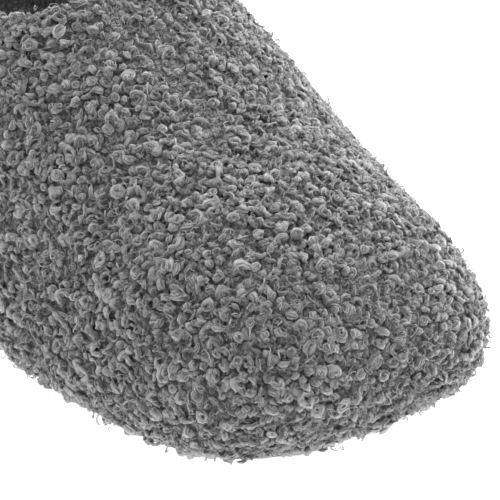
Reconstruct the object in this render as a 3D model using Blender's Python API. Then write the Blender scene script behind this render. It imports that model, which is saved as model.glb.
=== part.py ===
# Plush slipper for the right foot: a curly fleece upper, a padded insole and a rubber outsole with tread bars.
# The toe points to -Y, the inner (medial) side of the foot to +X, and the tread stands on z = 0.

import math

import bmesh
import bpy
import numpy as np

# Driving sizes, in metres
LENGTH = 0.272  # toe to heel, outside, over the fleece
BALL_WIDTH = 0.110  # outside, across the ball of the foot
HEEL_WIDTH = 0.084  # outside, across the heel
TOE_HEIGHT = 0.053  # top of the toe box, over the forefoot's floor
INSTEP_HEIGHT = 0.084  # top of the upper at the throat
HEEL_HEIGHT = 0.068  # top of the upper at the back of the heel
SIDE_HEIGHT = 0.056  # of the collar at its lowest, beside the ankle
WIDEST_HEIGHT = 0.016  # where the side walls stand out furthest
WALL = 0.006  # fleece, backing and lining together
TUCK = 0.005  # how far the wall draws in from its widest line to its hem
TOE_SPRING = 0.009  # rise of the sole at the toe's tip
SPRING_LENGTH = 0.068  # length over which the sole curves up

# Opening
THROAT = 0.105  # from the toe's tip to the front of the opening
COLLAR_BACK = 0.011  # from the opening's back edge to the heel's outermost point
COLLAR_WIDTH = 0.069  # across the opening, edge to edge of the outer face
THROAT_SQUARENESS = 3.0  # the opening's front seen from above: 2 is an ellipse and more is squarer
NAPE_SQUARENESS = 2.1  # the same for its back
THROAT_POWER = 2.2  # how quickly the collar falls away from the throat
NAPE_POWER = 3.0  # how quickly it falls away from the back of the heel

# Outsole and insole
SOLE_THICKNESS = 0.005  # tread bars included
BAR_HEIGHT = 0.0018
BAR_INSET = 0.0010  # round each tread bar, so that a groove runs between neighbours
SOLE_INSET = 0.007  # from the upper's widest line to the outsole's edge
SOLE_CHAMFER = 0.001  # round the underside's edge
SOLE_COLUMNS = 8  # tread cells across the sole
TREAD_MARGIN = 3  # rows of cells left bare at the toe and at the heel
BARE_WAIST_SHARES = (0.53, 0.64)  # where the tread is left bare under the arch
INSOLE_THICKNESS = 0.006
INSOLE_DISH = 0.0015  # how far the middle of the footbed lies under its edge
GAP = 0.0003  # between pieces that touch

# The upper's mesh
COLUMNS = 96  # round the shoe, an even number
UPPER_ROWS = 12  # from the widest line up to the collar
ROW_POWER = 1.8  # crowds the rows towards the sole, where the form is steepest
FAN_POWER = 1.35  # how far the columns lean back from the toe to the throat
RIM_STEPS = 4  # segments across the rounded collar edge

# Cross-section: |across| ^ SIDE_POWER + |height| ^ CROWN_POWER = 1, above the widest line
SIDE_POWER = 2.3
CROWN_POWER = 1.6

# Each row is a section of the last. at: share of LENGTH from the toe's tip. lean: the middle's offset to
# the inner side, as a share of BALL_WIDTH. ball, heel: half width, as shares of BALL_WIDTH and HEEL_WIDTH.
# toe, instep, back: height over the widest line, as shares of what TOE_HEIGHT, INSTEP_HEIGHT and
# HEEL_HEIGHT rise above it.
SECTION_COLUMNS = ("at", "lean", "ball", "heel", "toe", "instep", "back")
SECTIONS = (
    (0.000, 0.080, 0.000, 0.000, 0.000, 0.000, 0.000),
    (0.020, 0.080, 0.260, 0.000, 0.430, 0.000, 0.000),
    (0.055, 0.066, 0.355, 0.000, 0.710, 0.000, 0.000),
    (0.114, 0.046, 0.420, 0.000, 1.000, 0.000, 0.000),
    (0.184, 0.026, 0.453, 0.000, 0.650, 0.285, 0.000),
    (0.294, 0.006, 0.488, 0.000, 0.250, 0.630, 0.000),
    (0.404, -0.008, 0.488, 0.000, 0.000, 1.000, 0.000),
    (0.515, -0.022, 0.390, 0.090, 0.000, 1.080, 0.000),
    (0.640, -0.032, 0.190, 0.295, 0.000, 0.800, 0.220),
    (0.772, -0.018, 0.050, 0.430, 0.000, 0.400, 0.840),
    (0.900, 0.000, 0.000, 0.430, 0.000, 0.000, 1.380),
    (0.960, 0.000, 0.000, 0.320, 0.000, 0.000, 1.000),
    (0.987, 0.000, 0.000, 0.190, 0.000, 0.000, 0.620),
    (1.000, 0.000, 0.000, 0.000, 0.000, 0.000, 0.000),
)

FLEECE = {"color": (0.17, 0.17, 0.175), "roughness": 0.95}
FOOTBED = {"color": (0.22, 0.22, 0.225), "roughness": 0.9}
RUBBER = {"color": (0.42, 0.42, 0.42), "roughness": 0.7}

# Heights over the floor, where the sole is flat
HEM = BAR_HEIGHT  # the fleece hangs down round the sole's side, as low as the sole between its bars
SEAT = SOLE_THICKNESS + GAP  # underside of the insole, and of the wall where it sits on the sole


def turn_of(share):
    """Angle from the toe's tip (0) to the heel (pi), so that both ends of a curve over it come out round."""
    return np.arccos(np.clip(1 - 2 * np.asarray(share, float), -1, 1))


def column(name):
    return np.array([row[SECTION_COLUMNS.index(name)] for row in SECTIONS])


def smooth_curve(known_x, known_y, x):
    """Natural cubic spline: through the known points with no sudden change of bend."""
    step = np.diff(known_x)
    slope = np.diff(known_y) / step
    system = np.eye(len(known_x))
    wanted = np.zeros(len(known_x))
    for i in range(1, len(step)):
        system[i, i - 1 : i + 2] = step[i - 1], 2 * (step[i - 1] + step[i]), step[i]
        wanted[i] = 6 * (slope[i] - slope[i - 1])
    bend = np.linalg.solve(system, wanted)
    i = np.clip(np.searchsorted(known_x, x, side="right") - 1, 0, len(step) - 1)
    after, before = x - known_x[i], known_x[i + 1] - x
    cubic = (bend[i] * before**3 + bend[i + 1] * after**3) / (6 * step[i])
    start = known_y[i] / step[i] - bend[i] * step[i] / 6
    end = known_y[i + 1] / step[i] - bend[i + 1] * step[i] / 6
    return cubic + start * before + end * after


def from_sections(values, share):
    return smooth_curve(turn_of(column("at")), values, turn_of(share))


def middle(share):
    return from_sections(column("lean") * BALL_WIDTH, share)


def half_width(share):
    return from_sections(column("ball") * BALL_WIDTH + column("heel") * HEEL_WIDTH, share)


def crown(share):
    """Height of the last's ridge over its widest line."""
    rises = (
        column("toe") * (TOE_HEIGHT - WIDEST_HEIGHT)
        + column("instep") * (INSTEP_HEIGHT - WIDEST_HEIGHT)
        + column("back") * (HEEL_HEIGHT - WIDEST_HEIGHT)
    )
    return from_sections(rises, share)


def spring(along):
    """Rise of the sole at a distance from the toe's tip."""
    return TOE_SPRING * np.clip(1 - np.asarray(along) / SPRING_LENGTH, 0, 1) ** 2


def share_round_the_shoe():
    """Share of the length at each column, evenly spaced along the outline. Columns run from the toe's
    tip down the outer side to the heel, and back up the inner side."""
    fine = np.linspace(0, math.pi, 721)
    share = (1 - np.cos(fine)) / 2
    steps = np.hypot(np.diff(half_width(share)), np.diff(share) * LENGTH)
    along = np.concatenate([[0], np.cumsum(steps)])
    turns = np.interp(np.linspace(0, along[-1], COLUMNS // 2 + 1), along, fine)
    outer_side = (1 - np.cos(turns)) / 2
    return np.concatenate([outer_side, outer_side[-2:0:-1]])


SHARE = share_round_the_shoe()
SIDE = np.where(np.arange(COLUMNS) <= COLUMNS // 2, -1.0, 1.0)  # -1 on the outer side, 1 on the inner


def plan_outline():
    """The widest line seen from above: x across, and the distance along from the toe's tip."""
    across = middle(SHARE) + SIDE * half_width(SHARE)
    return np.stack([across, SHARE * LENGTH], axis=1)


def plan_collar():
    """The opening's edge seen from above, a point for each column."""
    turn = turn_of(SHARE**FAN_POWER)
    front, back = THROAT, LENGTH - COLLAR_BACK
    cosine = np.cos(turn)
    power = 2 / np.where(cosine > 0, THROAT_SQUARENESS, NAPE_SQUARENESS)
    along = (front + back) / 2 - (back - front) / 2 * np.sign(cosine) * np.abs(cosine) ** power
    across = middle(along / LENGTH) + SIDE * COLLAR_WIDTH / 2 * np.abs(np.sin(turn)) ** power
    return np.stack([across, along], axis=1)


def collar_height():
    front = (1 + np.cos(turn_of(SHARE**FAN_POWER))) / 2
    throat = (INSTEP_HEIGHT - SIDE_HEIGHT) * front**THROAT_POWER
    nape = (HEEL_HEIGHT - SIDE_HEIGHT) * (1 - front) ** NAPE_POWER
    return SIDE_HEIGHT + throat + nape


def outward(loop):
    """Unit normals of a closed loop in plan, pointing away from the shoe."""
    run = np.roll(loop, -1, axis=0) - np.roll(loop, 1, axis=0)
    normal = np.stack([-run[:, 1], run[:, 0]], axis=1)
    return normal / np.linalg.norm(normal, axis=1, keepdims=True)


def form_height(plan):
    """Height of the last's upper face over a point in plan."""
    share = np.clip(plan[:, 1] / LENGTH, 0, 1)
    across = np.abs(plan[:, 0] - middle(share)) / np.maximum(half_width(share), 1e-6)
    fullness = np.clip(1 - across**SIDE_POWER, 0, 1) ** (1 / CROWN_POWER)
    return WIDEST_HEIGHT + crown(share) * fullness


def placed(plan, height):
    """Points in the shoe's frame, from their place in plan and their height over the local floor."""
    centre = plan_outline()[:, 0]
    shift = (centre.max() + centre.min()) / 2
    return np.stack([plan[:, 0] - shift, plan[:, 1] - LENGTH / 2, height + spring(plan[:, 1])], axis=1)


def tuck_at(height):
    """How far the wall has drawn in at a height under its widest line."""
    return TUCK * ((WIDEST_HEIGHT - height) / (WIDEST_HEIGHT - HEM)) ** 2


def level_ring(inset, height):
    """A ring at one height over the local floor, inside the widest line by inset."""
    outline = plan_outline()
    return placed(outline - outward(outline) * inset, np.full(COLUMNS, height))


def outer_rows():
    """The upper's outer face as rows of points, from the hem up to the collar."""
    outline, collar = plan_outline(), plan_collar()
    rows = [level_ring(tuck_at(height), height) for height in (HEM, (HEM + WIDEST_HEIGHT) / 2)]
    lift = (collar_height() - WIDEST_HEIGHT) / (form_height(collar) - WIDEST_HEIGHT)
    for step in range(UPPER_ROWS):
        reach = (step / (UPPER_ROWS - 1)) ** ROW_POWER
        plan = outline + (collar - outline) * reach
        rise = form_height(plan) - WIDEST_HEIGHT if step else np.zeros(COLUMNS)
        rows.append(placed(plan, WIDEST_HEIGHT + rise * (1 + (lift - 1) * reach)))
    return np.array(rows)


def surface_normals(rows):
    around = np.roll(rows, -1, axis=1) - np.roll(rows, 1, axis=1)
    upward = np.gradient(rows, axis=0)
    normal = np.cross(upward, around)
    return normal / np.linalg.norm(normal, axis=2, keepdims=True)


def inner_rows(outer):
    """The lining's face: the outer rows moved in by the wall, down to the insole's top and underside."""
    inner = outer - surface_normals(outer) * WALL
    for row, height in enumerate((SEAT, SEAT + INSOLE_THICKNESS)):
        inner[row] = level_ring(tuck_at(height) + WALL, height)
    return inner


def sole_recess():
    """Step in the wall's underside that takes the outsole's edge."""
    return np.array([level_ring(SOLE_INSET - GAP, height) for height in (SEAT, HEM)])


def collar_rim(outer, inner):
    """Rounded edge from the outer face to the lining, bulging into the opening."""
    centre = (outer[-1] + inner[-1]) / 2
    across = (outer[-1] - inner[-1]) / 2
    onward = outer[-1] - outer[-2]
    onward *= WALL / 2 / np.linalg.norm(onward, axis=1, keepdims=True)
    angles = [math.pi * k / RIM_STEPS for k in range(1, RIM_STEPS)]
    return np.array([centre + across * math.cos(a) + onward * math.sin(a) for a in angles])


def material(name, look):
    made = bpy.data.materials.new(name)
    made.use_nodes = True
    shader = made.node_tree.nodes["Principled BSDF"]
    shader.inputs["Base Color"].default_value = (*look["color"], 1)
    shader.inputs["Roughness"].default_value = look["roughness"]
    shader.inputs["Metallic"].default_value = 0.0
    return made


def add_object(name, mesh_data, look):
    bmesh.ops.recalc_face_normals(mesh_data, faces=mesh_data.faces)
    if mesh_data.calc_volume(signed=True) < 0:
        bmesh.ops.reverse_faces(mesh_data, faces=mesh_data.faces)
    mesh = bpy.data.meshes.new(name)
    mesh_data.to_mesh(mesh)
    mesh_data.free()
    mesh.materials.append(material(name, look))
    mesh.shade_smooth()
    mesh.set_sharp_from_angle(angle=math.radians(40))
    made = bpy.data.objects.new(name, mesh)
    bpy.context.scene.collection.objects.link(made)
    return made


def add_rings(mesh_data, rings):
    return [[mesh_data.verts.new(point) for point in ring] for ring in rings]


def bridge(mesh_data, lower, upper):
    """A band of four-sided faces between two closed rings of as many points."""
    for i in range(len(lower)):
        j = (i + 1) % len(lower)
        mesh_data.faces.new((lower[i], lower[j], upper[j], upper[i]))


def make_upper():
    outer = outer_rows()
    inner = inner_rows(outer)
    rings = [*outer, *collar_rim(outer, inner), *inner[::-1], *sole_recess()]
    mesh_data = bmesh.new()
    made = add_rings(mesh_data, rings)
    for i, ring in enumerate(made):
        bridge(mesh_data, ring, made[(i + 1) % len(made)])
    return add_object("upper", mesh_data, FLEECE)


def cross_rows(ring, columns, dish=0.0):
    """Rows of points across a sole-shaped ring, from each outer-side point to its partner on the inner
    side, without the two ends. The middle lies lower by dish."""
    rows = []
    for i in range(1, COLUMNS // 2):
        left, right = ring[i], ring[COLUMNS - i]
        row = []
        for k in range(1, columns):
            t = k / columns
            point = left + (right - left) * t
            point[2] -= dish * math.sin(math.pi * t)
            row.append(point)
        rows.append(row)
    return rows


def cap(mesh_data, ring, rows):
    """Closes a sole-shaped ring with rows of faces across it. Returns the four-sided faces by row."""
    full = [
        [ring[i + 1], *[mesh_data.verts.new(p) for p in row], ring[COLUMNS - i - 1]]
        for i, row in enumerate(rows)
    ]
    for tip, row in ((ring[0], full[0]), (ring[COLUMNS // 2], full[-1])):
        for a, b in zip(row, row[1:]):
            mesh_data.faces.new((tip, a, b))
    return [
        [mesh_data.faces.new((u[k], u[k + 1], v[k + 1], v[k])) for k in range(len(u) - 1)]
        for u, v in zip(full, full[1:])
    ]


def add_tread(mesh_data, cells):
    """Raises every other row of cells as bars, staggered from column to column, down to the floor."""
    bars = []
    for i, row in enumerate(cells):
        share = SHARE[i + 1]
        near_end = i < TREAD_MARGIN or i >= len(cells) - TREAD_MARGIN
        if near_end or BARE_WAIST_SHARES[0] < share < BARE_WAIST_SHARES[1]:
            continue
        bars += [face for k, face in enumerate(row) if 0 < k < len(row) - 1 and (i + k) % 2 == 0]
    bmesh.ops.inset_individual(mesh_data, faces=bars, thickness=BAR_INSET)
    raised = bmesh.ops.extrude_discrete_faces(mesh_data, faces=bars)["faces"]
    for face in raised:
        for vert in face.verts:
            vert.co.z -= BAR_HEIGHT


def make_outsole():
    rings = [
        level_ring(SOLE_INSET + SOLE_CHAMFER, BAR_HEIGHT),
        level_ring(SOLE_INSET, BAR_HEIGHT + SOLE_CHAMFER),
        level_ring(SOLE_INSET, SOLE_THICKNESS),
    ]
    mesh_data = bmesh.new()
    made = add_rings(mesh_data, rings)
    for lower, upper in zip(made, made[1:]):
        bridge(mesh_data, lower, upper)
    cells = cap(mesh_data, made[0], cross_rows(rings[0], SOLE_COLUMNS))
    cap(mesh_data, made[-1], cross_rows(rings[-1], SOLE_COLUMNS))
    bmesh.ops.recalc_face_normals(mesh_data, faces=mesh_data.faces)
    add_tread(mesh_data, cells)
    return add_object("outsole", mesh_data, RUBBER)


def make_insole():
    """Padded footbed between the walls, following the lining's two lowest rows."""
    lining = inner_rows(outer_rows())[:2]
    rings = []
    for row in lining:
        ring = row.copy()
        ring[:, :2] -= outward(ring[:, :2]) * GAP
        rings.append(ring)
    mesh_data = bmesh.new()
    made = add_rings(mesh_data, rings)
    bridge(mesh_data, made[0], made[1])
    cap(mesh_data, made[0], cross_rows(rings[0], SOLE_COLUMNS))
    cap(mesh_data, made[1], cross_rows(rings[1], SOLE_COLUMNS, INSOLE_DISH))
    return add_object("insole", mesh_data, FOOTBED)


def main():
    for old in list(bpy.data.objects):
        bpy.data.objects.remove(old)
    make_upper()
    make_outsole()
    make_insole()


main()
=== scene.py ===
import math

import bpy
import numpy as np
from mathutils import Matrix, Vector, noise


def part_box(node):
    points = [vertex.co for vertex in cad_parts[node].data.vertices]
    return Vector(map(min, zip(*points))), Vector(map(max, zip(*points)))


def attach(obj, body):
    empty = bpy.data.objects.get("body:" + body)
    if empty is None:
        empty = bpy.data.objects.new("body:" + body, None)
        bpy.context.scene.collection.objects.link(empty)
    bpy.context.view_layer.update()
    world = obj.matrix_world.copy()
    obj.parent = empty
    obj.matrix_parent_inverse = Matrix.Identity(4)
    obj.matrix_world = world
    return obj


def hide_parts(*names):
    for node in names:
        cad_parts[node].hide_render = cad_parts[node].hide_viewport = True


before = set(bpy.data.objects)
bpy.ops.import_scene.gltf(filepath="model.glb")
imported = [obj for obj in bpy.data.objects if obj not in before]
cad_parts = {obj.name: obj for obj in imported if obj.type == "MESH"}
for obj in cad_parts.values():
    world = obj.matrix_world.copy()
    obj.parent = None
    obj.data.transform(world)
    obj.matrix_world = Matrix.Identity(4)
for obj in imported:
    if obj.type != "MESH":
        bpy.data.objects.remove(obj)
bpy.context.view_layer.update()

print("frame loaded")

mm = 0.001
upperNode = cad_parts["upper"]
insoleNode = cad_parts["insole"]
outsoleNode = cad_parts["outsole"]
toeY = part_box("upper")[0].y
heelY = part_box("upper")[1].y


# camera: the photo's close look down on the toe, from the outer side
cameraSettings = {
    "azimuth": -32.3,
    "elevation": 36.0,
    "distance": 0.9,
    "target": (0.0059, -0.0759, 0.030),
    "lens": 264.0,
    "sensorWidth": 36,
    "clip": (0.05, 20),
}


def makeCamera(settings):
    around, up = math.radians(settings["azimuth"]), math.radians(settings["elevation"])
    level = math.cos(up)
    back = Vector((math.sin(around) * level, -math.cos(around) * level, math.sin(up)))
    data = bpy.data.cameras.new("photoCamera")
    data.lens = settings["lens"]
    data.sensor_width = settings["sensorWidth"]
    data.clip_start, data.clip_end = settings["clip"]
    camera = bpy.data.objects.new("photoCamera", data)
    camera.location = Vector(settings["target"]) + back * settings["distance"]
    camera.rotation_euler = back.to_track_quat("Z", "Y").to_euler()
    bpy.context.scene.collection.objects.link(camera)
    bpy.context.scene.camera = camera


makeCamera(cameraSettings)


# studio: white floor and even light, stronger from behind the shoe's inner side
studio = {
    "floorSize": 6.0,
    "floorColor": (0.86, 0.86, 0.86),
    "floorGlow": 1.15,  # a lit white table, so that the shoe casts almost no shadow
    "floorRoughness": 0.9,
    "floorGrain": 60.0,
    "floorMottle": 0.98,  # the darker spots' share of the floor's colour
    "worldColor": (1.0, 1.0, 1.0),
    "worldStrength": 0.54,
    "lights": (
        # name, place, size, power
        ("keyLight", (1.09, 0.53, 1.06), 2.8, 88.0),
        ("fillLight", (-0.7, 0.7, 1.2), 1.2, 5.0),
    ),
}


def makeStudio(settings):
    half = settings["floorSize"] / 2
    mesh = bpy.data.meshes.new("floor")
    corners = [(-half, -half, 0), (half, -half, 0), (half, half, 0), (-half, half, 0)]
    mesh.from_pydata(corners, [], [(0, 1, 2, 3)])
    floor = bpy.data.objects.new("floor", mesh)
    bpy.context.scene.collection.objects.link(floor)
    mesh.materials.append(floorMaterial(settings))
    world = bpy.data.worlds.new("softSky")
    world.use_nodes = True
    sky = world.node_tree.nodes["Background"]
    sky.inputs["Color"].default_value = (*settings["worldColor"], 1)
    sky.inputs["Strength"].default_value = settings["worldStrength"]
    bpy.context.scene.world = world
    for name, place, size, power in settings["lights"]:
        data = bpy.data.lights.new(name, "AREA")
        data.size = size
        data.energy = power
        light = bpy.data.objects.new(name, data)
        light.location = place
        light.rotation_euler = Vector(place).to_track_quat("Z", "Y").to_euler()
        bpy.context.scene.collection.objects.link(light)
    bpy.context.scene.view_settings.view_transform = "Standard"


# node helpers
def newMaterial(name, **values):
    made = bpy.data.materials.new(name)
    made.use_nodes = True
    shader = made.node_tree.nodes["Principled BSDF"]
    for socket, value in values.items():
        shader.inputs[socket.replace("_", " ")].default_value = value
    return made, made.node_tree, shader


def addNode(tree, kind, inputs=(), **settings):
    node = tree.nodes.new(kind)
    for name, value in settings.items():
        setattr(node, name, value)
    for name, value in dict(inputs).items():
        if isinstance(value, bpy.types.NodeSocket):
            tree.links.new(value, node.inputs[name])
        else:
            node.inputs[name].default_value = value
    return node


def mapRange(tree, value, low, high, toLow, toHigh):
    inputs = {"Value": value, "From Min": low, "From Max": high, "To Min": toLow, "To Max": toHigh}
    return addNode(tree, "ShaderNodeMapRange", inputs).outputs["Result"]


def noiseNode(tree, place, scale, **more):
    return addNode(tree, "ShaderNodeTexNoise", {"Vector": place, "Scale": scale, **more}).outputs["Fac"]


def combine(tree, operation, *values, **settings):
    inputs = dict(enumerate(values))
    return addNode(tree, "ShaderNodeMath", inputs, operation=operation, **settings).outputs[0]


def mixColors(tree, factor, first, second):
    inputs = {"Factor": factor, 6: first, 7: second}
    return addNode(tree, "ShaderNodeMix", inputs, data_type="RGBA", clamp_factor=True).outputs[2]


def bumpFrom(tree, height, look):
    inputs = {"Height": height, "Strength": look["bump"], "Distance": look["bumpDistance"]}
    return addNode(tree, "ShaderNodeBump", inputs).outputs["Normal"]


def floorMaterial(settings):
    made, tree, shader = newMaterial("paperFloor", Roughness=settings["floorRoughness"])
    place = addNode(tree, "ShaderNodeTexCoord").outputs["Object"]
    grain = noiseNode(tree, place, settings["floorGrain"], Detail=3.0)
    color = settings["floorColor"]
    ramp = addNode(tree, "ShaderNodeValToRGB", {"Fac": grain})
    ramp.color_ramp.elements[0].color = (*(c * settings["floorMottle"] for c in color), 1)
    ramp.color_ramp.elements[1].color = (*color, 1)
    tree.links.new(ramp.outputs["Color"], shader.inputs["Base Color"])
    tree.links.new(ramp.outputs["Color"], shader.inputs["Emission Color"])
    shader.inputs["Emission Strength"].default_value = settings["floorGlow"]
    return made


makeStudio(studio)


# wool: fibres that run along a lock, painted highlight on a lighter edge, painted shade on a darker
# middle and darker roots with painted light on the tips, and soft patches over the whole cloth
woolTones = {
    # a value from and to, and what it adds to the tone from and to
    "fibres": (0.37, 0.63, -0.48, 0.48),
    "patches": (0.30, 0.70, -0.07, 0.07),
    # painted highlight: lighter along each lock's outer edge
    "rim": (0.55, 1.00, 0.0, 0.12),
    # painted shade: darker along each lock's inner edge, in the middle of the curl
    "heartShade": (-1.00, -0.10, -0.20, 0.0),
    # depth: painted shade darkens the roots deep in the pile, painted light brightens the tips
    "depth": (0.15, 0.95, -0.17, 0.11),
}
fibreStretch = (0.18, 1.0, 1.0)  # fibres are drawn out along the lock


def woolGroup():
    group = bpy.data.node_groups.new("wool", "ShaderNodeTree")
    for name, kind, default in (
        ("Fibres", "NodeSocketFloat", 3.0),
        ("Patches", "NodeSocketFloat", 60.0),
        ("Tone", "NodeSocketFloat", 0.4),
        ("Depth", "NodeSocketFloat", 0.5),
        ("Edge", "NodeSocketFloat", 0.0),
        ("Dark", "NodeSocketColor", (0.05, 0.05, 0.05, 1)),
        ("Light", "NodeSocketColor", (0.4, 0.4, 0.4, 1)),
    ):
        socket = group.interface.new_socket(name=name, in_out="INPUT", socket_type=kind)
        socket.default_value = default
    group.interface.new_socket(name="Color", in_out="OUTPUT", socket_type="NodeSocketColor")
    group.interface.new_socket(name="Height", in_out="OUTPUT", socket_type="NodeSocketFloat")
    given = addNode(group, "NodeGroupInput").outputs
    place = addNode(group, "ShaderNodeTexCoord").outputs
    drawn = addNode(group, "ShaderNodeMapping", {"Vector": place["UV"], "Scale": fibreStretch})
    fibres = noiseNode(group, drawn.outputs["Vector"], given["Fibres"], Detail=2.5, Roughness=0.65)
    patches = noiseNode(group, place["Object"], given["Patches"], Detail=2.0)
    total = given["Tone"]
    # the lock's edge gives a painted highlight outside and painted shade inside; depth paints shade on
    # the roots and light on the tips
    for part, value in (
        ("fibres", fibres),
        ("patches", patches),
        ("rim", given["Edge"]),
        ("heartShade", given["Edge"]),
        ("depth", given["Depth"]),
    ):
        total = combine(group, "ADD", total, mapRange(group, value, *woolTones[part]))
    taken = addNode(group, "NodeGroupOutput")
    group.links.new(mixColors(group, total, given["Dark"], given["Light"]), taken.inputs["Color"])
    group.links.new(fibres, taken.inputs["Height"])
    return group


wool = woolGroup()

fleeceLook = {
    "dark": (0.080, 0.080, 0.081, 1),
    "light": (0.455, 0.455, 0.461, 1),
    "fibres": 2.5,  # per millimetre across a lock
    "patches": 60.0,
    "bump": 1.0,
    "bumpDistance": 0.50 * mm,
    "roughness": 0.85,
    "glow": 0.25,  # light that passes through the loose wool
    "glowReach": 0.4 * mm,
    "sheen": 0.90,
    "sheenRoughness": 0.45,
    "specular": 0.10,
}


def fleeceMaterial(name, look):
    made, tree, shader = newMaterial(
        name,
        Roughness=look["roughness"],
        Subsurface_Weight=look["glow"],
        Subsurface_Scale=look["glowReach"],
        Subsurface_Radius=(1.0, 1.0, 1.0),
        Sheen_Weight=look["sheen"],
        Sheen_Roughness=look["sheenRoughness"],
        Specular_IOR_Level=look["specular"],
    )
    fibre = addNode(tree, "ShaderNodeGroup", node_tree=wool)
    for socket in ("fibres", "patches", "dark", "light"):
        fibre.inputs[socket.capitalize()].default_value = look[socket]
    for socket in ("Tone", "Depth", "Edge"):
        stored = addNode(tree, "ShaderNodeAttribute", attribute_name="curl" + socket).outputs["Fac"]
        tree.links.new(stored, fibre.inputs[socket])
    bump = bumpFrom(tree, fibre.outputs["Height"], look)
    tree.links.new(fibre.outputs["Color"], shader.inputs["Base Color"])
    tree.links.new(bump, shader.inputs["Normal"])
    return made


# whorls: small flat curls side by side, each of fibres that run round its middle, with painted shade
# between them
whorlTones = {
    # a value from and to, and what it adds to the mask from and to
    "rings": (-1.0, 1.0, 0.0, 0.55),
    # hollow: painted shade, darker towards each whorl's border, in the gaps between whorls
    "hollow": (0.15, 0.75, 0.25, -0.25),
    "grain": (0.30, 0.70, -0.20, 0.45),
}


def whorlGroup():
    group = bpy.data.node_groups.new("whorls", "ShaderNodeTree")
    for name, default in (("Size", 400.0), ("Rings", 3.0), ("Bend", 0.5), ("Grain", 400.0)):
        socket = group.interface.new_socket(name=name, in_out="INPUT", socket_type="NodeSocketFloat")
        socket.default_value = default
    group.interface.new_socket(name="Fac", in_out="OUTPUT", socket_type="NodeSocketFloat")
    given = addNode(group, "NodeGroupInput").outputs
    place = addNode(group, "ShaderNodeTexCoord").outputs["Object"]
    nap = noiseNode(group, place, given["Grain"], Detail=3.0, Distortion=2.0)
    near = {"Vector": place, "Scale": given["Size"]}
    cells = addNode(group, "ShaderNodeTexVoronoi", near, feature="F1").outputs["Distance"]
    away = combine(group, "ADD", cells, combine(group, "MULTIPLY", nap, given["Bend"]))
    wave = combine(group, "SINE", combine(group, "MULTIPLY", away, given["Rings"]))
    rings = mapRange(group, wave, *whorlTones["rings"])
    # painted shade between the whorls
    hollow = mapRange(group, cells, *whorlTones["hollow"])
    grain = mapRange(group, nap, *whorlTones["grain"])
    total = combine(group, "ADD", combine(group, "ADD", rings, hollow), grain, use_clamp=True)
    group.links.new(total, addNode(group, "NodeGroupOutput").inputs["Fac"])
    return group


whorls = whorlGroup()

# short plush: for the lining, the footbed and the cloth between the curls
plushLook = {
    "dark": (0.045, 0.045, 0.046, 1),
    "light": (0.300, 0.300, 0.305, 1),
    "size": 420.0,
    "rings": 16.0,
    "bend": 0.5,
    "grain": 600.0,
    "patches": 60.0,
    "patchTone": (0.30, 0.70, -0.10, 0.10),
    "bump": 0.7,
    "bumpDistance": 0.5 * mm,
    "roughness": 0.9,
    "sheen": 0.3,
    "sheenRoughness": 0.4,
    "specular": 0.15,
}


def plushMaterial(name, look):
    made, tree, shader = newMaterial(
        name,
        Roughness=look["roughness"],
        Sheen_Weight=look["sheen"],
        Sheen_Roughness=look["sheenRoughness"],
        Specular_IOR_Level=look["specular"],
    )
    place = addNode(tree, "ShaderNodeTexCoord").outputs["Object"]
    nap = addNode(tree, "ShaderNodeGroup", node_tree=whorls)
    for socket in ("size", "rings", "bend", "grain"):
        nap.inputs[socket.capitalize()].default_value = look[socket]
    nap = nap.outputs["Fac"]
    patches = noiseNode(tree, place, look["patches"], Detail=2.0)
    total = combine(tree, "ADD", nap, mapRange(tree, patches, *look["patchTone"]))
    tree.links.new(mixColors(tree, total, look["dark"], look["light"]), shader.inputs["Base Color"])
    tree.links.new(bumpFrom(tree, nap, look), shader.inputs["Normal"])
    return made


# the upper's own surface, read from the frame: points, faces, and the directions that they look in
reading = {"weld": 0.01 * mm, "leastArea": 1e-12}


def readSurface(node):
    mesh = node.data
    points = np.empty(len(mesh.vertices) * 3)
    mesh.vertices.foreach_get("co", points)
    points = points.reshape(-1, 3)
    cells = np.round(points / reading["weld"]).astype(int)
    _, first, index = np.unique(cells, axis=0, return_index=True, return_inverse=True)
    points = points[first]
    mesh.calc_loop_triangles()
    faces = np.empty(len(mesh.loop_triangles) * 3, int)
    mesh.loop_triangles.foreach_get("vertices", faces)
    faces = index.reshape(-1)[faces].reshape(-1, 3)
    corners = points[faces]
    cross = np.cross(corners[:, 1] - corners[:, 0], corners[:, 2] - corners[:, 0])
    areas = np.linalg.norm(cross, axis=1) / 2
    whole = areas > reading["leastArea"]
    faces, cross, areas = faces[whole], cross[whole], areas[whole]
    normals = np.zeros_like(points)
    for k in range(3):
        np.add.at(normals, faces[:, k], cross)
    normals /= np.maximum(np.linalg.norm(normals, axis=1, keepdims=True), 1e-15)
    return points, faces, normals, cross / (2 * areas[:, None]), areas


# spine: a line through the hollow, in metres, so what looks away from it is the outside
spine = {"fromToe": 0.03, "fromHeel": 0.035, "height": 0.025}


def looksOut(places, directions):
    along = np.clip(places[:, 1], toeY + spine["fromToe"], heelY - spine["fromHeel"])
    level = np.full(len(places), spine["height"])
    nearest = np.stack([np.zeros(len(places)), along, level], axis=1)
    return ((places - nearest) * directions).sum(axis=1) > 0


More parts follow.
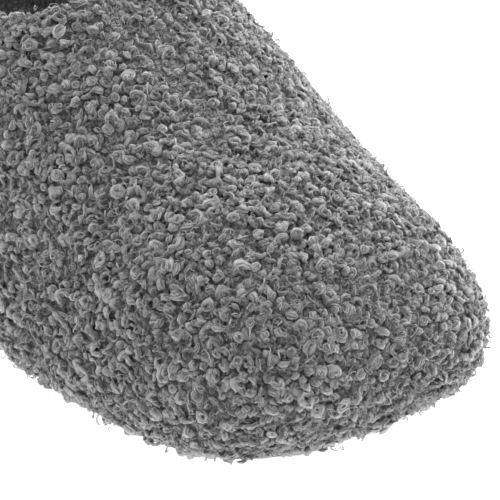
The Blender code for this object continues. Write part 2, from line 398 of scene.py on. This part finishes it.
# scatter: points over the chosen faces, none nearer to another than the spacing; crowd is how many
# are tried for each square of that size
def scatter(surface, chosen, spacing, seed, crowd=34.0):
    points, faces, normals, _, areas = surface
    rng = np.random.default_rng(seed)
    picked = np.flatnonzero(chosen)
    count = int(areas[picked].sum() / spacing**2 * crowd)
    face = picked[rng.choice(len(picked), count, p=areas[picked] / areas[picked].sum())]
    a, b = rng.random(count), rng.random(count)
    turned = a + b > 1
    a[turned], b[turned] = 1 - a[turned], 1 - b[turned]
    weight = np.stack([1 - a - b, a, b], axis=1)[:, :, None]
    places = (points[faces[face]] * weight).sum(axis=1)
    directions = (normals[faces[face]] * weight).sum(axis=1)
    directions /= np.linalg.norm(directions, axis=1, keepdims=True)
    taken = {}
    kept = []
    near = [(x, y, z) for x in (-1, 0, 1) for y in (-1, 0, 1) for z in (-1, 0, 1)]
    for i, (cx, cy, cz) in enumerate(np.floor(places / spacing).astype(int).tolist()):
        x, y, z = places[i]
        crowded = any(
            (qx - x) ** 2 + (qy - y) ** 2 + (qz - z) ** 2 < spacing**2
            for dx, dy, dz in near
            for qx, qy, qz in taken.get((cx + dx, cy + dy, cz + dz), ())
        )
        if not crowded:
            taken.setdefault((cx, cy, cz), []).append((x, y, z))
            kept.append(i)
    return places[kept], directions[kept]


# folds: soft troughs and one ridge of the worn-in vamp, as lines over the shoe in millimetres
folds = (
    # depth and half width in millimetres; a ridge has a depth below zero
    (0.9, 4.0, ((-6.8, -36.3, 80.6), (-1.9, -50.0, 72.9), (-0.1, -62.8, 66.6), (-1.4, -74.3, 63.2))),
    (-0.6, 5.0, ((-6.8, -80.2, 61.3), (-5.4, -92.5, 58.8), (0.0, -107.0, 54.9), (4.9, -111.9, 53.0))),
    (0.9, 3.5, ((-7.4, -114.8, 49.9), (0.5, -118.7, 49.1), (7.7, -122.4, 46.7))),
)


def foldDepth(places):
    depth = np.zeros(len(places))
    for deep, wide, line in folds:
        line = np.array(line) * mm
        nearest = np.full(len(places), np.inf)
        for a, b in zip(line, line[1:]):
            t = np.clip((places - a) @ (b - a) / ((b - a) @ (b - a)), 0, 1)
            nearest = np.minimum(nearest, np.linalg.norm(places - a - t[:, None] * (b - a), axis=1))
        depth += deep * mm * np.exp(-((nearest / (wide * mm)) ** 2))
    return depth


# rim: the pile lies flatter round the opening
rim = {"sink": 1.0 * mm, "reach": 4.5 * mm}


def rimDepth(places):
    away = np.linalg.norm(places[:, None] - collarPoints[None], axis=2).min(axis=1)
    return rim["sink"] * np.exp(-((away / rim["reach"]) ** 2))


# clumps: the pile stands a little higher and lower in patches
clumps = {"size": 4.5 * mm, "height": 0.5 * mm}

# locks: hooks are short open curls, rolls wind in on themselves, strands are single loose fibres
hookStyle = {
    "radius": 1.02 * mm,
    "radiusSpread": 0.26,
    "width": 2.35 * mm,
    "thickness": 0.85 * mm,
    "flare": (0.45, 1.20),  # 0 is a band on edge, a quarter turn is a flat ring
    "turns": (0.50, 0.92),
    "shrink": (0.0, 0.30),
    "pitch": 0.30,
    "fray": 0.24,  # how unevenly a lock's edges run
    "stray": 0.07,  # how far its middle strays from a smooth curl, in radii
    "segments": 8,
    "sides": 4,
    "shapes": 60,
    "sizeSpread": 0.30,
    "lean": (0.0, 1.20),  # of a curl's axis from the cloth's own direction, in radians
    "top": (-0.85 * mm, 0.75 * mm),  # how far a curl's top stands from the pile's surface
    "tone": (0.33, 0.50),
    "leanPower": 0.8,
    "oval": (0.62, 1.0),
    "wobble": (0.13, 2.4),  # how much the radius varies, and how often
    "tip": 0.20,  # thickness at a lock's ends, as a share
    "taper": (0.18, 0.26),  # how long the two ends taper, as shares
    "taperPower": 0.6,
    "bulge": 0.16,
    "bulges": (9, 14),
    "floorGap": 0.3 * mm,
    "patternSpread": 90,  # millimetres over which locks take their part of the fibre pattern
}
rollStyle = {
    **hookStyle,
    "radius": 1.18 * mm,
    "width": 2.00 * mm,
    "thickness": 0.80 * mm,
    "flare": (0.60, 1.20),
    "lean": (0.0, 0.95),
    "turns": (1.10, 1.50),
    "shrink": (0.45, 0.65),
    "pitch": 0.12,
    "segments": 12,
}
strandStyle = {
    **hookStyle,
    "radius": 1.60 * mm,
    "radiusSpread": 0.30,
    "width": 0.22 * mm,
    "thickness": 0.16 * mm,
    "turns": (0.35, 0.85),
    "pitch": 1.2,
    "segments": 6,
    "sides": 3,
    "lean": (0.2, 1.3),
    "top": (-0.20 * mm, 0.80 * mm),
    # paler than the curls: painted highlight standing for light caught on loose fibres
    "tone": (0.50, 0.80),
}
fuzzStyle = {
    **strandStyle,
    "radius": 1.00 * mm,
    "width": 0.14 * mm,
    "thickness": 0.12 * mm,
    "turns": (0.25, 0.60),
    "segments": 4,
    "lean": (0.9, 1.57),
    "top": (0.30 * mm, 1.30 * mm),
    # paler still: painted light standing for the haze of light through loose fibres
    "tone": (0.50, 0.90),
}
loopStyle = {
    **strandStyle,
    "radius": 0.95 * mm,
    "width": 0.40 * mm,
    "thickness": 0.34 * mm,
    "turns": (0.80, 1.05),
    "pitch": 0.3,
    "segments": 10,
    "lean": (1.1, 1.57),
    "top": (0.30 * mm, 1.90 * mm),
    "tone": (0.40, 0.70),
}


def lockShape(style, rng):
    # one lock about its own z axis, ring by ring
    turns = rng.uniform(*style["turns"])
    radius = style["radius"] * (1 + rng.uniform(-1, 1) * style["radiusSpread"])
    shrink = rng.uniform(*style["shrink"])
    cup = rng.choice((-1, 1))  # 1 opens upwards like a bowl, -1 is domed
    flare = rng.uniform(*style["flare"]) * cup
    pitch = rng.uniform(-1, 1) * style["pitch"] * style["width"] / math.pi
    oval = rng.uniform(*style["oval"])
    wave = rng.uniform(0, 2 * math.pi)
    along = np.linspace(0, 1, style["segments"] + 1)
    angle = along * turns * 2 * math.pi
    wobble, often = style["wobble"]
    reach = radius * (1 - shrink * along) * (1 + wobble * np.sin(often * angle + wave))
    tip, (opening, closing) = style["tip"], style["taper"]
    inner = np.clip(np.minimum(along / opening, (1 - along) / closing), 0, 1)
    taper = tip + (1 - tip) * inner ** style["taperPower"]
    taper *= 1 + style["bulge"] * np.sin(rng.uniform(*style["bulges"]) * along + 2 * wave)
    frayed = 1 + rng.uniform(-1, 1, (len(along), style["sides"])) * style["fray"]
    middle = np.stack([reach * np.cos(angle), oval * reach * np.sin(angle), pitch * angle], axis=1)
    middle += rng.uniform(-1, 1, middle.shape) * style["stray"] * radius
    outward = np.stack([np.cos(angle), np.sin(angle), np.zeros_like(angle)], axis=1)
    across = np.array([0.0, 0.0, 1.0]) + outward * math.tan(flare)
    across /= np.linalg.norm(across, axis=1, keepdims=True)
    through = np.cross(across, np.cross(outward, across))
    through /= np.linalg.norm(through, axis=1, keepdims=True)
    around = 2 * math.pi * np.arange(style["sides"]) / style["sides"]
    wide = across[:, None] * np.cos(around)[:, None] * style["width"] / 2
    thick = through[:, None] * np.sin(around)[:, None] * style["thickness"] / 2
    section = wide + thick
    return middle[:, None] + section * (taper[:, None] * frayed)[:, :, None], cup


def paintedHemLight(places):
    # painted light: the pile is paler along its lower edge, light thrown up by the floor painted into
    # its tone, in a wider band along the sides than at the toe
    above = places[:, 2] - np.interp(places[:, 1], hemY, hemZ)
    band = np.interp(places[:, 1], hem["bandFrom"], hem["bandHeight"])
    return hem["tone"] * np.clip((band - above) / (hem["fade"] * band), 0, 1)


def lockAxes(directions, style, rng):
    # three directions of its own for each lock, the last along its axis
    count = len(directions)
    upright = np.abs(directions[:, 2:3]) >= 0.9
    helper = np.where(upright, [[1.0, 0.0, 0.0]], [[0.0, 0.0, 1.0]])
    side = np.cross(directions, helper)
    side /= np.linalg.norm(side, axis=1, keepdims=True)
    other = np.cross(directions, side)
    heading = rng.uniform(0, 2 * math.pi, count)[:, None]
    least, most = style["lean"]
    lean = (least + (most - least) * rng.random(count) ** style["leanPower"])[:, None]
    level = side * np.cos(heading) + other * np.sin(heading)
    axisZ = directions * np.cos(lean) + level * np.sin(lean)
    first = np.cross(axisZ, level + directions * 0.01)  # a nudge, so that the two never line up
    first /= np.linalg.norm(first, axis=1, keepdims=True)
    spin = rng.uniform(0, 2 * math.pi, count)[:, None]
    axisX = first * np.cos(spin) + np.cross(axisZ, first) * np.sin(spin)
    axisY = np.cross(axisZ, axisX) * np.where(rng.random(count) < 0.5, -1.0, 1.0)[:, None]
    return np.stack([axisX, axisY, axisZ], axis=1)


def lockFaces(style, count):
    # side faces and end caps, numbered lock after lock
    sides, rows = style["sides"], style["segments"] + 1
    ring = np.arange(sides)
    after = (ring + 1) % sides
    strips = []
    for low in range(0, (rows - 1) * sides, sides):
        high = low + sides
        strips.append(np.stack([low + ring, low + after, high + after, high + ring], axis=1))
    caps = np.stack([ring[::-1], (rows - 1) * sides + ring])
    start = (np.arange(count) * sides * rows)[:, None, None]
    quads = np.concatenate(strips)
    return [(quads[None] + start).reshape(-1, 4), (caps[None] + start).reshape(-1, sides)]


def lockUv(style, shift):
    # millimetres along the lock and around it
    sides, rows = style["sides"], style["segments"] + 1
    ring = np.arange(sides)
    u = np.repeat(np.arange(rows - 1), sides)[:, None] + np.array([0, 0, 1, 1])
    u = u / (rows - 1) * style["radius"] / mm * math.pi * sum(style["turns"])
    v = np.tile(np.stack([ring, ring + 1, ring + 1, ring], axis=1) / sides, (rows - 1, 1))
    v = v * 2 * math.hypot(style["width"], style["thickness"]) / mm
    sideUv = np.stack([u, v], axis=2)[None] + shift
    capUv = np.zeros((len(shift), 2, sides, 2)) + shift
    return [sideUv.reshape(-1, 2), capUv.reshape(-1, 2)]


def lockBatch(style, places, directions, pile, seed):
    # many locks at once: each takes one of the shapes, a size, a lean and a turn of its own
    rng = np.random.default_rng(seed)
    made = [lockShape(style, rng) for _ in range(style["shapes"])]
    shapes, cups = np.stack([shape for shape, _ in made]), np.array([cup for _, cup in made])
    count = len(places)
    sides, rows = style["sides"], style["segments"] + 1
    which = rng.integers(0, len(shapes), count)
    sizes = 1 + rng.uniform(-1, 1, count) * style["sizeSpread"]
    local = shapes[which] * sizes[:, None, None, None]
    offset = np.einsum("nrsk,nkc->nrsc", local, lockAxes(directions, style, rng))
    rise = np.einsum("nrsc,nc->nrs", offset, directions)
    clump = [noise.noise(Vector(place) / clumps["size"]) for place in places]
    clump = np.array(clump) * clumps["height"]
    lift = pile + rng.uniform(*style["top"], count) + clump
    lift = lift - foldDepth(places) - rimDepth(places) - rise.max(axis=(1, 2))
    points = places[:, None, None] + offset + (directions * lift[:, None])[:, None, None]
    below = style["floorGap"] - points[..., 2].min(axis=(1, 2))
    points[..., 2] += np.maximum(below, 0)[:, None, None]
    # height in the pile, which the wool turns into painted shade at the roots and painted light at the
    # tips
    depth = np.clip((rise + lift[:, None, None]) / (pile + hookStyle["top"][1]), 0, 1)
    shift = rng.uniform(0, style["patternSpread"], (count, 1, 1, 2))
    # 1 on a lock's outer edge, -1 on its inner edge; the wool paints a highlight on the first and shade
    # on the second
    outer = np.cos(2 * math.pi * np.arange(sides) / sides)[None, None]
    edge = outer * cups[which][:, None, None] * np.ones((1, rows, 1))
    return {
        "points": points.reshape(-1, 3),
        "faces": lockFaces(style, count),
        "uv": lockUv(style, shift),
        # each lock's own tone, plus painted light along the lower edge
        "curlTone": np.repeat(rng.uniform(*style["tone"], count) + paintedHemLight(places), rows * sides),
        "curlDepth": depth.reshape(-1),
        "curlEdge": edge.reshape(-1),
    }


def joinBatches(name, batches, material):
    faces, uv, start = [], [], 0
    for batch in batches:
        faces += [block + start for block in batch["faces"]]
        uv += batch["uv"]
        start += len(batch["points"])
    piece = meshFrom(name, np.concatenate([batch["points"] for batch in batches]), faces)
    layer = piece.data.uv_layers.new(name="lock")
    layer.data.foreach_set("uv", np.concatenate(uv).astype(np.float32).reshape(-1))
    for attribute in ("curlTone", "curlDepth", "curlEdge"):
        values = np.concatenate([batch[attribute] for batch in batches]).astype(np.float32)
        stored = piece.data.attributes.new(attribute, "FLOAT", "POINT")
        stored.data.foreach_set("value", values)
    piece.data.materials.append(material)
    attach(piece, "root")
    triangles = sum(len(block) * (block.shape[1] - 2) for block in faces)
    print(name, triangles, "triangles")


def meshFrom(name, points, faces):
    mesh = bpy.data.meshes.new(name)
    mesh.vertices.add(len(points))
    mesh.vertices.foreach_set("co", points.astype(np.float32).reshape(-1))
    sizes = np.concatenate([np.full(len(block), block.shape[1]) for block in faces])
    corners = np.concatenate([block.reshape(-1) for block in faces])
    mesh.loops.add(len(corners))
    mesh.loops.foreach_set("vertex_index", corners.astype(np.int32))
    mesh.polygons.add(len(sizes))
    mesh.polygons.foreach_set("loop_start", (np.cumsum(sizes) - sizes).astype(np.int32))
    mesh.update(calc_edges=True)
    mesh.validate()
    mesh.shade_smooth()
    made = bpy.data.objects.new(name, mesh)
    bpy.context.scene.collection.objects.link(made)
    return made


# footbed: a soft pad with a short plush cover
footbed = {
    "voxel": 1.9 * mm,
    "shrink": 0.25 * mm,
    "nap": 0.30 * mm,
    "napSize": 3.2 * mm,
}
footbedLook = {**plushLook, "size": 520.0, "light": (0.34, 0.34, 0.345, 1)}


def makeFootbed(settings):
    piece = bpy.data.objects.new("plushFootbed", insoleNode.data.copy())
    bpy.context.scene.collection.objects.link(piece)
    piece.data.materials.clear()
    remesh = piece.modifiers.new("cells", "REMESH")
    remesh.mode = "VOXEL"
    remesh.voxel_size = settings["voxel"]
    depsgraph = bpy.context.evaluated_depsgraph_get()
    mesh = bpy.data.meshes.new_from_object(piece.evaluated_get(depsgraph))
    piece.modifiers.clear()
    piece.data = mesh
    for vertex in mesh.vertices:
        place, normal = vertex.co.copy(), vertex.normal.copy()
        upwards = max(normal.z, 0.0)
        nap = noise.noise(place / settings["napSize"]) * settings["nap"] * upwards
        vertex.co = place - normal * settings["shrink"] + Vector((0, 0, nap))
    mesh.shade_smooth()
    mesh.materials.append(plushMaterial("footbedPlush", footbedLook))
    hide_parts("insole")
    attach(piece, "root")
    print("footbed", len(mesh.polygons) * 2, "triangles")


makeFootbed(footbed)

# backing: the knitted cloth that the curls grow from, with the plush lining on its inner side
cloth = {"pile": 1.5 * mm, "collarTurn": 9 * mm}
backingLook = {**plushLook, "dark": (0.05, 0.05, 0.051, 1), "light": (0.30, 0.30, 0.301, 1)}
liningLook = {**plushLook, "size": 600.0}

points, faces, normals, faceNormals, areas = readSurface(upperNode)
middles = points[faces].mean(axis=1)
outside = looksOut(middles, faceNormals)
outsidePoint = looksOut(points, normals)
rooted = points - normals * np.where(outsidePoint, cloth["pile"], 0.0)[:, None]
backing = meshFrom("fleeceBacking", rooted, [faces])
backing.data.materials.append(plushMaterial("fleeceBacking", backingLook))
backing.data.materials.append(plushMaterial("plushLining", liningLook))
backing.data.polygons.foreach_set("material_index", np.where(outside, 0, 1).astype(np.int32))
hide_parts("upper")
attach(backing, "root")
print("backing made")

# hem: the fleece's lower edge along the sole, and the band of painted light along it
hem = {
    # how much painted light the band along the lower edge adds to the pile's tone
    "tone": 0.90,
    "bandFrom": (-0.110, -0.060),  # metres along the shoe, where the band has these heights
    "bandHeight": (6 * mm, 11 * mm),
    "fade": 0.8,
    "slices": 24,
    "reach": 8 * mm,
}
hemY = np.linspace(toeY, heelY, hem["slices"])
nearby = [outsidePoint & (np.abs(points[:, 1] - y) < hem["reach"]) for y in hemY]
hemZ = np.array([points[near, 2].min() for near in nearby])
hemToe, hemMiddle = hemZ[0], hemZ[len(hemZ) // 2]
print("hem", round(hemToe / mm, 1), "mm up at the toe,", round(hemMiddle / mm, 1), "in the middle")

fleece = fleeceMaterial("curlyFleece", fleeceLook)
pileSurface = (rooted, faces, normals, faceNormals, areas)
cover = {
    "underside": -0.8,  # a face that looks down more than this carries no curls
    "lowest": 1.0 * mm,
    "frontEnd": 0.005,  # metres along the shoe
    "toeEnd": -0.078,
    "collarHeight": 30 * mm,
    "sight": (0.43, 0.69, -0.59),  # the direction that the photo looks in
    "turnedAway": 0.15,
    "rolled": 0.38,  # the share of curls that are rolls
}
seeds = {"scatter": 3, "kinds": 50, "locks": 100}
covered = outside & (faceNormals[:, 2] > cover["underside"]) & (middles[:, 2] > cover["lowest"])
front, inner = middles[:, 1] < cover["frontEnd"], middles[:, 0] > 0.0
toe = middles[:, 1] < cover["toeEnd"]
edgePoints = np.intersect1d(faces[outside], faces[~outside])
collarPoints = points[edgePoints[points[edgePoints, 2] > cover["collarHeight"]]]
fromCollar = np.linalg.norm(middles[:, None] - collarPoints[None], axis=2).min(axis=1)
turn = ~outside & (fromCollar < cloth["collarTurn"])
full, light = {"hook": 8, "roll": 12}, {"hook": 6, "roll": 9}
hidden = faceNormals @ np.array(cover["sight"]) > cover["turnedAway"]
seen = covered & front & inner & ~hidden
curlRegions = (
    # name, faces, spacing, segments of each kind, shares with a strand, a loop and a fuzz fibre
    ("curlsToeOuter", covered & toe & ~inner, 1.68 * mm, full, 0.35, 0.12, 0.40),
    ("curlsToeInner", seen & toe, 1.68 * mm, full, 0.35, 0.12, 0.95),
    ("curlsVampOuter", covered & front & ~toe & ~inner, 1.72 * mm, full, 0.35, 0.12, 0.40),
    ("curlsVampInner", seen & ~toe, 1.68 * mm, full, 0.35, 0.12, 0.95),
    ("curlsForefootSide", covered & front & inner & hidden, 1.88 * mm, light, 0.20, 0.06, 0.30),
    ("curlsHeelOuter", covered & ~front & ~inner, 1.97 * mm, light, 0.15, 0.05, 0.30),
    ("curlsHeelInner", covered & ~front & inner, 1.97 * mm, light, 0.15, 0.05, 0.30),
    ("curlsCollarTurn", turn, 2.05 * mm, light, 0.12, 0.0, 0.30),
)
for number, (name, chosen, spacing, segments, loose, looped, fuzzed) in enumerate(curlRegions):
    places, directions = scatter(pileSurface, chosen, spacing, number + seeds["scatter"])
    rng = np.random.default_rng(number + seeds["kinds"])
    rolled = rng.random(len(places)) < cover["rolled"]
    stranded = rng.random(len(places)) < loose
    raised = rng.random(len(places)) < looped
    standing = rng.random(len(places)) < fuzzed
    kinds = (
        ({**hookStyle, "segments": segments["hook"]}, ~rolled),
        ({**rollStyle, "segments": segments["roll"]}, rolled),
        (strandStyle, stranded),
        (loopStyle, raised),
        (fuzzStyle, standing),
    )
    seed = 10 * number + seeds["locks"]
    batches = [
        lockBatch(style, places[mine], directions[mine], cloth["pile"], seed + k)
        for k, (style, mine) in enumerate(kinds)
        if mine.any()
    ]
    joinBatches(name, batches, fleece)

# outsole: matt rubber with a fine cast grain, darker where it touches the floor
rubberLook = {
    "base": (0.300, 0.300, 0.305, 1),
    "worn": (0.190, 0.190, 0.192, 1),
    "grain": 1600.0,
    "mottle": 55.0,
    "bump": 0.35,
    "bumpDistance": 0.12 * mm,
    "wearHeight": 3.0 * mm,
    "wear": 0.65,  # at the floor, fading to none
    "spots": (0.35, 0.70, -0.15, 0.30),
    "roughness": (0.3, 0.7, 0.62, 0.82),
    "specular": 0.35,
}


def rubberMaterial(name, look):
    made, tree, shader = newMaterial(name, Specular_IOR_Level=look["specular"])
    place = addNode(tree, "ShaderNodeTexCoord").outputs["Object"]
    grain = noiseNode(tree, place, look["grain"], Detail=2.0)
    mottle = noiseNode(tree, place, look["mottle"], Detail=4.0, Roughness=0.6)
    height = addNode(tree, "ShaderNodeSeparateXYZ", {"Vector": place}).outputs["Z"]
    worn = mapRange(tree, height, 0.0, look["wearHeight"], look["wear"], 0.0)
    total = combine(tree, "ADD", worn, mapRange(tree, mottle, *look["spots"]))
    tree.links.new(mixColors(tree, total, look["base"], look["worn"]), shader.inputs["Base Color"])
    tree.links.new(mapRange(tree, mottle, *look["roughness"]), shader.inputs["Roughness"])
    tree.links.new(bumpFrom(tree, grain, look), shader.inputs["Normal"])
    return made


rubber = rubberMaterial("soleRubber", rubberLook)
if outsoleNode.material_slots:
    for slot in outsoleNode.material_slots:
        slot.material = rubber
else:
    outsoleNode.data.materials.append(rubber)
print("outsole finished")
